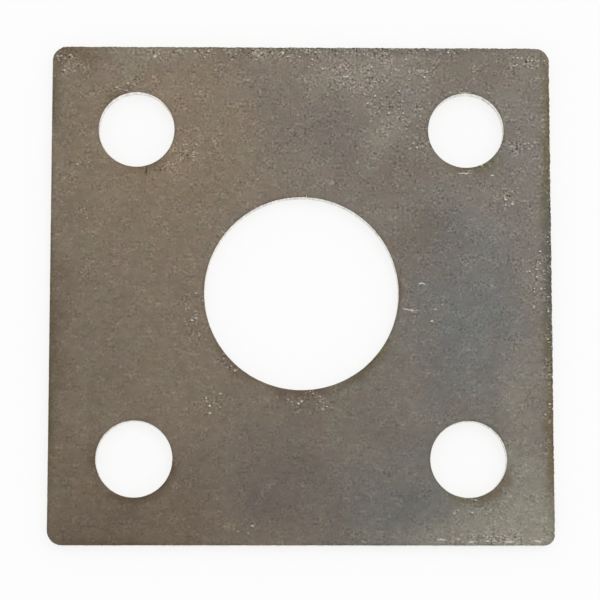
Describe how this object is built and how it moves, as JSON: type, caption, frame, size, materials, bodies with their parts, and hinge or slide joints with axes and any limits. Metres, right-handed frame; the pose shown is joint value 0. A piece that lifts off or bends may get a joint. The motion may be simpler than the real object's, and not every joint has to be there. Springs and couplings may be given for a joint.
{
  "type": "square cover plate",
  "caption": "Flat square steel cover plate with rounded corners, a large centre hole for a tube or neck, and a fixing hole near each corner.",
  "frame": {"origin": "centre of the plate's underside, on the axis of the centre hole", "axes": "+Z out of the front face, along the centre hole; +X along the lower edge; +Y up the left edge"},
  "size_m": [0.1, 0.1, 0.0025],
  "materials": {
    "steel": "bare pickled mild steel, dull and lightly stained"
  },
  "bodies": {
    "root": {"cover_plate": "steel"}
  },
  "joints": []
}
